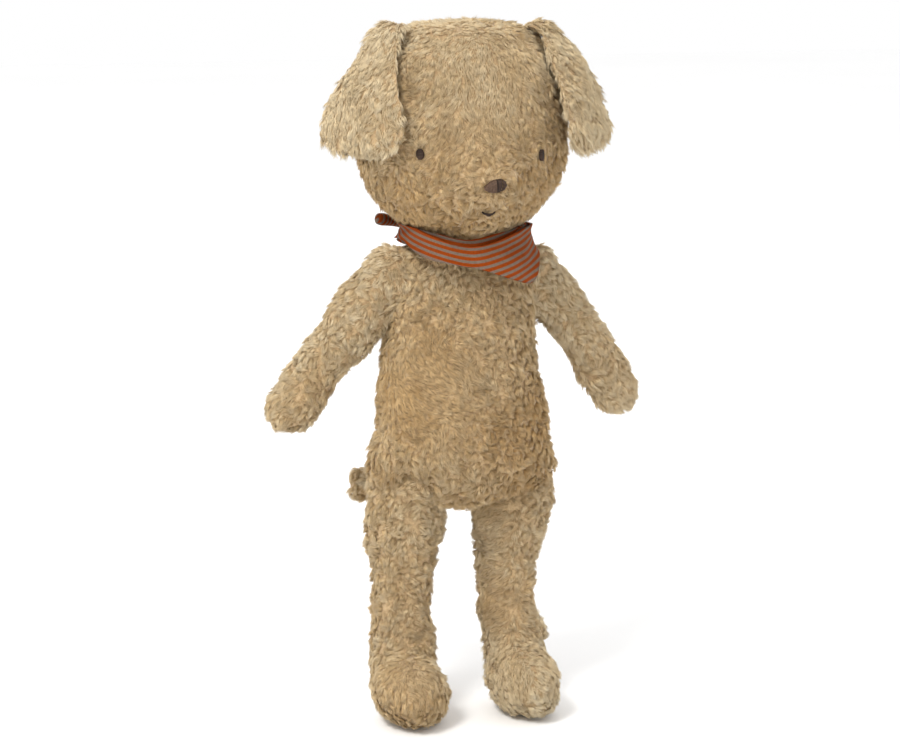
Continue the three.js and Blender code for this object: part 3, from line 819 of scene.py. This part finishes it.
def satin(name, strokes, radius, tones, crown):
    """Threads laid side by side. Each stroke is a line of points (x, z) on the face."""
    made = []
    for stroke, tone in zip(strokes, tones):
        xs, zs = np.array(stroke).T
        steps = np.linspace(0, 1, len(xs))
        path = []
        for t in np.linspace(0, 1, 11):
            x, z = np.interp(t, steps, xs), np.interp(t, steps, zs)
            path.append(face_point(x, z, RAISE - 1.6 * MM + crown * math.sin(math.pi * t) ** 0.5))
        angle = angles_round(6)
        rings = [ring_at(p, radius, angle, *across) for p, *across in across_path(path, [0.3, 0.5, 0.81])]
        one = new_object("thread", *skinned_rings(rings))
        stamp(one, tone=np.full(len(one.data.vertices), tone))
        made.append(one)
    obj = joined(name, made)
    discard(*made)
    smoothed(obj.data)
    obj.data.materials.append(thread)
    return obj


def outline(width, height, power, x):
    """Half height of a rounded outline at x from its middle."""
    return height / 2 * max(0.0, 1 - abs(2 * x / width) ** power) ** (1 / power)


rng = np.random.default_rng(7)
NOSE = (0.8, 234.7)  # x and z of the nose's middle, in millimetres
NOSE_TILT = 0.14
EYES = {"right": (-25.6, 246.7), "left": (23.5, 245.3)}
MOUTH_X = 0.3


def mouth_height(x):
    """Height of the smile at x, in millimetres."""
    return 223.9 - 0.035 * x**2


def nose_strokes():
    strokes, tones = [], []
    for x in np.linspace(-3.9, 3.9, 17):
        half = outline(8.2, 4.5 + 0.14 * x, 1.7 if x < 0 else 2.4, x)
        tilt = x * NOSE_TILT
        strokes.append(((NOSE[0] + x + 0.15, NOSE[1] - half + tilt), (NOSE[0] + x - 0.15, NOSE[1] + half + tilt)))
        # painted light and shade: the nose's left half is lighter, its right half darker, with a darker line where
        # they meet
        tones.append((1.0 if x < 0.9 else 0.3) + rng.uniform(-0.12, 0.12) - (0.6 if abs(x - 0.9) < 0.3 else 0))
    return strokes, tones


def eye_strokes(x0, z0):
    strokes = []
    for z in np.linspace(-1.9, 1.9, 9):
        half = outline(4.2, 2.6, 2, z)
        strokes.append(((x0 - half, z0 + z), (x0 + half, z0 + z)))
    return strokes, rng.uniform(0.05, 0.5, len(strokes))


def mouth_strokes():
    strokes = []
    for row, half in ((-0.5, 1.3), (-0.05, 2.2), (0.35, 2.7)):
        xs = np.linspace(-half, half, 11) + MOUTH_X
        strokes.append(np.stack([xs, mouth_height(xs) + row], 1))
    return strokes, rng.uniform(0.0, 0.4, len(strokes))


strokes, tones = nose_strokes()
nose = satin("nose_stitches", strokes, 0.36 * MM, tones, 1.5 * MM)
eyes = {}
for side in SIDES:
    strokes, tones = eye_strokes(*EYES[side])
    eyes[side] = satin(f"eye_{side}_stitches", strokes, 0.33 * MM, tones, 0.8 * MM)
strokes, tones = mouth_strokes()
mouth = satin("mouth_stitches", strokes, 0.33 * MM, tones, 1.3 * MM)


# ----- Pile -----


def unit(v):
    return v / np.maximum(np.linalg.norm(v, axis=-1, keepdims=True), 1e-12)


CELL_PRIMES = np.array([73856093, 19349663, 83492791])  # give each small cell of space its own key


def spread(obj, spacing, rng):
    """Points spread evenly over a mesh with their normals, in metres."""
    tris = triangles_of(obj.data)
    co, no = points_of(obj.data), normals_of(obj.data)
    a, b, c = co[tris[:, 0]], co[tris[:, 1]], co[tris[:, 2]]
    area = np.linalg.norm(np.cross(b - a, c - a), axis=1) / 2
    count = int(area.sum() / spacing**2 * 6)
    pick = rng.choice(len(tris), count, p=area / area.sum())
    u, v = rng.random(count), rng.random(count)
    flip = u + v > 1
    u[flip], v[flip] = 1 - u[flip], 1 - v[flip]
    w = np.stack([1 - u - v, u, v], 1)
    place = (co[tris[pick]] * w[:, :, None]).sum(1)
    normal = unit((no[tris[pick]] * w[:, :, None]).sum(1))
    cell = np.floor(place / (spacing * 1.05)).astype(np.int64)
    key = np.bitwise_xor.reduce(cell * CELL_PRIMES, axis=1)
    _, first = np.unique(key, return_index=True)
    first.sort()
    return place[first], normal[first]


def value_noise(p, size, seed):
    """Smooth noise from -1 to 1 at points p."""
    shift = Vector((seed * 13.7, seed * 5.1, seed * 2.3))
    return np.array([noise.noise(Vector(q) / size + shift) for q in p])


def depth_inside(tree, p):
    """How far inside a closed surface each point lies, in metres; negative outside."""
    out = np.empty(len(p))
    ray = Vector((0.36, 0.48, 0.8))
    for i, q in enumerate(p):
        point = Vector(q)
        _, normal, _, _ = tree.ray_cast(point, ray)
        inside = normal is not None and normal.dot(ray) > 0
        distance = tree.find_nearest(point)[3]
        out[i] = distance if inside else -distance
    return out


def room_along(tree, p, d, reach):
    """How far each point can go along d before it meets a surface, up to reach."""
    out = np.full(len(p), reach)
    for i in range(len(p)):
        hit, _, _, distance = tree.ray_cast(Vector(p[i]), Vector(d[i]), reach)
        if hit is not None:
            out[i] = distance
    return out


SPACING = 1.7 * MM / 1 ** 0.5  # from one lock of pile to the next
STRANDS = 12  # in each lock
CLUMP = 3.9 * MM  # how far apart the curls are


def clump_of(place, centres):
    """Which curl each lock belongs to."""
    finder = KDTree(len(centres))
    for i, centre in enumerate(centres):
        finder.insert(centre, i)
    finder.balance()
    return np.array([finder.find(q)[1] for q in place])


def clump_mean(home, values):
    """The mean of a value over the locks of each one's curl."""
    count = np.maximum(np.bincount(home), 1)
    return np.stack([np.bincount(home, v) / count for v in values.T], 1)[home]


def locks(obj, comb, smooth, length, rng, warm, folds, hidden=(), near=(), bare=None):
    """Where each lock of pile grows and which way it lies."""
    place, normal = spread(obj, SPACING, rng)
    keep = np.ones(len(place), bool)
    for name, depth in hidden:
        keep &= depth_inside(trees[name], place) < depth * MM
    if bare is not None:
        keep &= ~bare(place / MM - AXIS)
    place, normal = place[keep], normal[keep]
    local = place / MM - AXIS
    count = len(place)
    ease = np.clip(smooth(local) + 0.45 * value_noise(place, 20 * MM, 4), 0, 1)
    centres = spread(obj, CLUMP, rng)[0]
    home = clump_of(place, centres)
    wish = comb(local)
    wish = wish - normal * (wish * normal).sum(1)[:, None]
    wish = unit(wish)
    side = np.cross(normal, wish)
    held = clump_mean(home, place) * 0.8 + place * 0.2
    swirl = value_noise(held, 5 * MM, 3) * 3.2 * (1 - ease) + value_noise(place, 14 * MM, 9) * 1.0 * (1 - 0.5 * ease)
    turn = swirl + rng.normal(0, 1, count) * (0.4 - 0.28 * ease)
    lie = wish * np.cos(turn)[:, None] + side * np.sin(turn)[:, None]
    long = length(local) * MM * rng.uniform(0.75, 1.35, count)
    lift = np.radians(np.clip(rng.normal(24 - 13 * ease, 11 - 7 * ease, count), 3, 60))
    for name in near:
        aim = unit(lie * 0.5 + normal * 0.85)
        start = place + normal * 0.2 * MM
        room = room_along(trees[name], start, aim, 7 * MM)
        inside = depth_inside(trees[name], place) > -0.3 * MM
        room[inside] = 0.6 * MM
        tight = room < 6.9 * MM
        long[tight] = np.minimum(long[tight], np.maximum(room[tight] * 1.1, 1.2 * MM))
        lift[tight] = np.minimum(lift[tight], np.radians(18))
    tone = 0.58 + value_noise(place, 9 * MM, 5) * 0.45 + rng.normal(0, 0.2, count) * (1 - 0.75 * ease)
    tone += rng.normal(0, 0.16, len(centres))[home] * (1 - ease)
    # painted shade: the gaps between curls are darker than their middles
    rim = np.linalg.norm(place - clump_mean(home, place), axis=1) / (0.5 * CLUMP)
    tone += (0.12 - 0.32 * np.minimum(rim, 1.3) ** 2) * (1 - ease)
    # along each fold the pile is shorter, and darker as painted shade in the crease
    for line, depth, width in folds:
        path = np.array([at(*q) for q in spline(line, 6)])
        close = np.exp(-((distance_to_line(place, path) / (width * 1.2 * MM)) ** 2))
        long *= 1 - 0.55 * close
        tone -= 0.6 * close * min(depth / 1.6, 1.3)
    tip = place + (lie * np.cos(lift)[:, None] + normal * np.sin(lift)[:, None]) * long[:, None]
    pull = (clump_mean(home, tip) - tip) * (0.88 * (1 - ease))[:, None]
    pull *= np.minimum(1, 2.0 * MM / np.maximum(np.linalg.norm(pull, axis=1), 1e-9))[:, None]
    warmth = np.clip(warm(local) + 0.35 * value_noise(place, 24 * MM, 8) + rng.normal(0, 0.08, count), 0, 1)
    return {"place": place, "normal": normal, "lie": lie, "long": long, "lift": lift, "ease": ease,
            "tone": np.clip(tone, 0, 1), "pull": pull, "warm": warmth}


RINGS = ((0.0, 0.12), (0.5, 0.105))  # share of the length, and radius in millimetres


def pile_from(name, lock, rng):
    """Each lock as a bundle of tapered curved strands whose tips draw together."""
    count = len(lock["place"]) * STRANDS
    rep = {k: np.repeat(v, STRANDS, axis=0) for k, v in lock.items()}
    n, d, ease = rep["normal"], rep["lie"], rep["ease"]
    s = np.cross(n, d)
    radius = np.sqrt(rng.random(count)) * (0.95 + 0.25 * ease) * MM
    angle = rng.random(count) * 2 * math.pi
    offset = d * (radius * np.cos(angle))[:, None] + s * (radius * np.sin(angle))[:, None]
    root = rep["place"] + offset - n * 0.5 * MM
    long = rep["long"] * rng.uniform(0.8, 1.12, count)
    lift = rep["lift"]
    reach = d * np.cos(lift)[:, None] + n * np.sin(lift)[:, None]
    gather = (0.55 - 0.45 * ease)[:, None]
    tip = rep["place"] + reach * long[:, None] + offset * (1 - gather)
    tip += rng.normal(0, 0.36 * MM, (count, 3)) * (1 - 0.5 * ease)[:, None] + rep["pull"]
    bend = np.repeat(rng.uniform(-1, 1, len(lock["place"])), STRANDS) * (0.5 - 0.3 * ease)
    middle = root + n * (long * 0.42)[:, None] + d * (long * 0.22)[:, None] + s * (bend * long)[:, None]
    fine = rng.uniform(0.7, 1.25, count)
    points, along = [], []
    for t, w in RINGS:
        p = root * (1 - t) ** 2 + middle * (2 * t * (1 - t)) + tip * t * t
        go = unit((middle - root) * (1 - t) + (tip - middle) * t)
        e1 = unit(np.cross(go, s + n * 0.3))
        e2 = np.cross(go, e1)
        r = (w * MM * fine)[:, None]
        for k in range(3):
            a = 2 * math.pi * k / 3
            points.append(p + r * (math.cos(a) * e1 + math.sin(a) * e2))
            along.append(t)
    points.append(tip)
    along.append(1.0)
    vertices = np.stack(points, 1).reshape(-1, 3)
    vertices[:, 2] = pressed(vertices[:, 2], 0.2 * MM)
    per = len(points)
    pattern = []
    for ring in range(len(RINGS) - 1):
        for k in range(3):
            m = (k + 1) % 3
            pattern.append([ring * 3 + k, ring * 3 + m, ring * 3 + 3 + m, ring * 3 + 3 + k])
    quads = len(pattern)
    last = (len(RINGS) - 1) * 3
    tips = [[last + k, last + (k + 1) % 3, per - 1] for k in range(3)] + [[2, 1, 0]]
    flat = np.array([i for face in pattern + tips for i in face])
    sizes = np.array([4] * quads + [3] * len(tips))
    loops = (flat[None, :] + (np.arange(count) * per)[:, None]).ravel()
    mesh = bpy.data.meshes.new(name)
    mesh.vertices.add(len(vertices))
    mesh.vertices.foreach_set("co", vertices.astype(np.float32).ravel())
    mesh.loops.add(len(loops))
    mesh.loops.foreach_set("vertex_index", loops.astype(np.int32))
    totals = np.tile(sizes, count)
    mesh.polygons.add(len(totals))
    starts = np.concatenate([[0], np.cumsum(totals)[:-1]])
    mesh.polygons.foreach_set("loop_start", starts.astype(np.int32))
    smoothed(mesh)
    mesh.update(calc_edges=True)
    obj = linked(name, mesh)
    tone = np.clip(np.repeat(rep["tone"], per) + np.repeat(rng.normal(0, 0.1, count), per), 0, 1)
    # flattened pile hides its roots and their painted shade
    seen = np.tile(np.array(along), count) * (1 - 0.5 * np.repeat(ease, per)) + 0.3 * np.repeat(ease, per)
    stamp(obj, along=seen, tone=tone, warm=np.repeat(rep["warm"], per))
    # a small cell of the picture plane for each strand
    grid = math.ceil(math.sqrt(count))
    cell = np.arange(count)
    u = np.array([0, 1, 1, 0] * quads + [0.2, 0.8, 0.5] * 3 + [0.1, 0.3, 0.2])
    v = np.array(along)[flat]
    uv = np.stack(
        [((cell % grid)[:, None] + 0.1 + 0.8 * u) / grid, ((cell // grid)[:, None] + 0.1 + 0.8 * v) / grid], 2
    )
    layer = mesh.uv_layers.new(name="OFBake")
    layer.data.foreach_set("uv", uv.astype(np.float32).ravel())
    mesh.materials.append(pile)
    return obj


def always(value):
    return lambda p: np.full(len(p), float(value))


def towards(*direction):
    return lambda p: np.tile(np.array(direction, float), (len(p), 1))


def around_features(p):
    """Where the embroidery leaves no room for pile on the face."""
    x, y, z = p[:, 0], p[:, 1], p[:, 2]
    front = y < 0
    along = x - NOSE[0]
    on_nose = (np.abs(along) / 3.8) ** 2.1 + (np.abs(z - NOSE[1] - NOSE_TILT * along) / 2.1) ** 2.1 < 1
    on_eye = np.zeros(len(p), bool)
    for x0, z0 in EYES.values():
        on_eye |= ((x - x0) / 0.9) ** 2 + ((z - z0) / 1.6) ** 2 < 1
    on_mouth = (np.abs(x - MOUTH_X) < 2.0) & (np.abs(z - mouth_height(x)) < 0.4)
    return front & (on_nose | on_eye | on_mouth)


def bump_at(p, centre, radius):
    """A soft spot of 1 at centre that fades to 0 past radius."""
    return np.exp(-(((p - np.array(centre)) / radius) ** 2).sum(1))


def head_comb(p):
    """Down the forehead, out and down over the cheeks, away from the nose on the muzzle."""
    out = unit(p - np.array([0, -10, 240.0]))
    down = np.tile([0.0, 0.0, -1.0], (len(p), 1))
    face = bump_at(p, (0, -50, 233), 22)[:, None]
    away = p - np.array([0, -56, 236.0])
    away[:, 1] *= 0.3
    return down + 0.35 * out + face * unit(away) * 1.6


def head_smooth(p):
    combed = 0.8 * bump_at(p, (4, -34, 280), 26) + 0.35 * bump_at(p, (-12, -36, 262), 18)
    return 0.12 + combed - 0.5 * bump_at(p, (0, -45, 224), 20)


def head_length(p):
    close = np.minimum.reduce([
        np.hypot(np.abs(p[:, 0]) - 25.6, p[:, 2] - 246.6),
        np.hypot(p[:, 0] * 0.6, p[:, 2] - 235.4),
        np.hypot(p[:, 0] * 0.6, p[:, 2] - 223.8),
    ])
    near = (p[:, 1] < 0) & (close < 7)
    usual = np.interp(p[:, 2], [209, 216, 285, 297], [5.4, 3.8, 3.7, 2.8])
    return np.where(near, 2.1 + 0.23 * close, usual)


def torso_comb(p):
    combed = bump_at(p, (-20, -22, 145), 24)[:, None]
    return np.tile([0.0, 0.0, -1.0], (len(p), 1)) + combed * np.array([1.3, 0, 0.5])


def torso_smooth(p):
    return 0.02 + 1.15 * bump_at(p, (-21, -20, 150), 23) - 0.3 * bump_at(p, (20, -20, 140), 26)


def leg_comb(sign):
    """Sideways from the shin's seam and a little down, and forwards over the foot."""

    def comb(p):
        side = np.tanh((p[:, 0] - 24 * sign) / 3)
        low = np.clip((40 - p[:, 2]) / 20, 0, 1)
        return np.stack([side * (1 - 0.5 * low), -0.9 * low - 0.05, np.full(len(p), -0.35)], 1)

    return comb


def inner_side(p, sign):
    """1 on the front of a leg's inner side, which ends at the shin's seam."""
    return (p[:, 0] * sign < 21.5) & (p[:, 1] < 6)


def leg_smooth(sign):
    def smooth(p):
        combed = inner_side(p, sign) * np.interp(p[:, 2], [14, 34], [0.4, 1]) if sign > 0 else 0
        return 0.1 + 0.85 * combed + 0.55 * bump_at(p, (25 * sign, -25, 22), 16)

    return smooth


def arm_comb(sign):
    return towards(0.55 * sign, 0.1, -0.8)


def head_light_and_shade_tint(p):
    """Painted light and shade: paler over the crown, browner on the cheeks and under the chin."""
    return np.interp(p[:, 2], [212, 232, 262, 290], [0.85, 0.75, 0.5, 0.25])


def torso_warm(p):
    # browner over the flattened belly patch, and as painted shade on the belly's shaded side, the dog's left
    return 0.58 + 0.32 * bump_at(p, (-20, -20, 150), 22) + 0.42 * bump_at(p, (24, -18, 134), 24)


def leg_warm(sign):
    def warm(p):
        foot = np.interp(p[:, 2], [22, 48], [1, 0])
        # the left leg is browner on its inner side, and its foot paler as painted light on its top; the right foot
        # is browner at its toe
        if sign > 0:
            return 0.4 + 0.14 * inner_side(p, sign) - 0.34 * foot
        return 0.42 + 0.05 * foot + 0.4 * bump_at(p, (-30, -22, 11), 10)

    return warm


def grow(name, base, seed, parts=1, **how):
    """Pile over a skin, as one piece or several of a size that exports whole."""
    rng = np.random.default_rng(seed)
    lock = locks(skins[base], rng=rng, folds=FOLDS[base], **how)
    made = []
    order = np.argsort(lock["place"][:, 2], kind="stable")
    for i, part in enumerate(np.array_split(order, parts)):
        some = {k: v[part] for k, v in lock.items()}
        made.append(pile_from(f"{name}_{i + 1}" if parts > 1 else name, some, rng))
    return made


fur = {
    "head": grow(
        "head_pile", "head", 11, parts=5, comb=head_comb, smooth=head_smooth, length=head_length,
        warm=head_light_and_shade_tint, near=("ear_right", "ear_left", "scarf_inner"), bare=around_features,
    ),
    "torso": grow(
        "torso_pile", "torso", 12, parts=4, comb=torso_comb, smooth=torso_smooth, length=always(3.9),
        warm=torso_warm,
        hidden=[(limb, 3.5) for limb in ("arm_right", "arm_left", "leg_right", "leg_left", "tail")],
        near=("scarf", "scarf_inner"),
    ),
    "neck": grow("neck_pile", "neck", 14, comb=towards(0, 0, -1), smooth=always(0.1), length=always(5.0),
                 hidden=[("torso", 2), ("head", 1)], near=("scarf_inner",), warm=always(0.6)),
    "tail": grow("tail_pile", "tail", 13, comb=towards(-0.8, 0.6, -0.4), smooth=always(0.2), length=always(3.8),
                 hidden=[("torso", 4)], warm=always(0.4)),
}
for side, sign in SIDES.items():
    seed = 20 if side == "right" else 30
    arm, leg, ear = "arm_" + side, "leg_" + side, "ear_" + side
    fur[arm] = grow(arm + "_pile", arm, seed, comb=arm_comb(sign), smooth=always(0.3), length=always(3.8),
                    hidden=[("torso", 3.5)], near=("scarf", "scarf_inner"), warm=always(0.3))
    fur[leg] = grow(leg + "_pile", leg, seed + 1, parts=2, comb=leg_comb(sign), smooth=leg_smooth(sign),
                    length=always(3.8), hidden=[("torso", 4)], warm=leg_warm(sign))
    fur[ear] = grow(ear + "_pile", ear, seed + 2, comb=towards(0.3 * sign, -0.25, -1), smooth=always(0.7),
                    length=always(4.0), near=("head",), warm=always(0.05))


# ----- The body that the head, torso and scarf pieces move with; the rest are baked in place -----

for part in (skins["head"], *fur["head"], nose, mouth, *eyes.values()):
    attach(part, "head")
for part in (skins["torso"], *fur["torso"]):
    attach(part, "torso")
for part in scarf_parts:
    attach(part, "scarf")
for part in (skins["neck"], *fur["neck"]):
    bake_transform(part)
for part in (skins["tail"], *fur["tail"]):
    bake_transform(part)
for side, sign in SIDES.items():
    for part in (skins["arm_" + side], *fur["arm_" + side]):
        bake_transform(part)
    for part in (skins["leg_" + side], *fur["leg_" + side]):
        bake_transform(part)
    for part in (skins["ear_" + side], *fur["ear_" + side]):
        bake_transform(part)

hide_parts("torso_stuffing", "belly_panel", "back_panel_right", "back_panel_left")
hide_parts("neck_stuffing", "neck_tube")
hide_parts("head_stuffing", "head_centre_panel", "head_side_panel_right", "head_side_panel_left")
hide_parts("tail_stuffing", "tail_upper_panel", "tail_lower_panel")
for side in SIDES:
    arm, leg, ear = "arm_" + side, "leg_" + side, "ear_" + side
    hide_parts(arm + "_stuffing", arm + "_front_panel", arm + "_back_panel")
    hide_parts(leg + "_stuffing", leg + "_inner_panel", leg + "_outer_panel")
    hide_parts(ear + "_outer", ear + "_inner")
    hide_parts("eye_" + side)
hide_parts("nose")
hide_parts("mouth")
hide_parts("scarf_wrap")
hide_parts("scarf_knot")
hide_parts("scarf_short_end")
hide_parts("scarf_long_end")

for group in fur.values():
    for obj in group:
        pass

# ----- Floor -----

floor = new_object("floor", [(-4, -4, 0), (4, -4, 0), (4, 4, 0), (-4, 4, 0)], [(0, 1, 2, 3)])
made, tree, shader = material("pale_floor", 0.9)
tint = ramp(tree, clouds(tree, 3, 2), [(0.0, srgb(250, 250, 250)), (1.0, srgb(254, 254, 254))])
tree.links.new(tint, shader.inputs["Base Color"])
floor.data.materials.append(made)
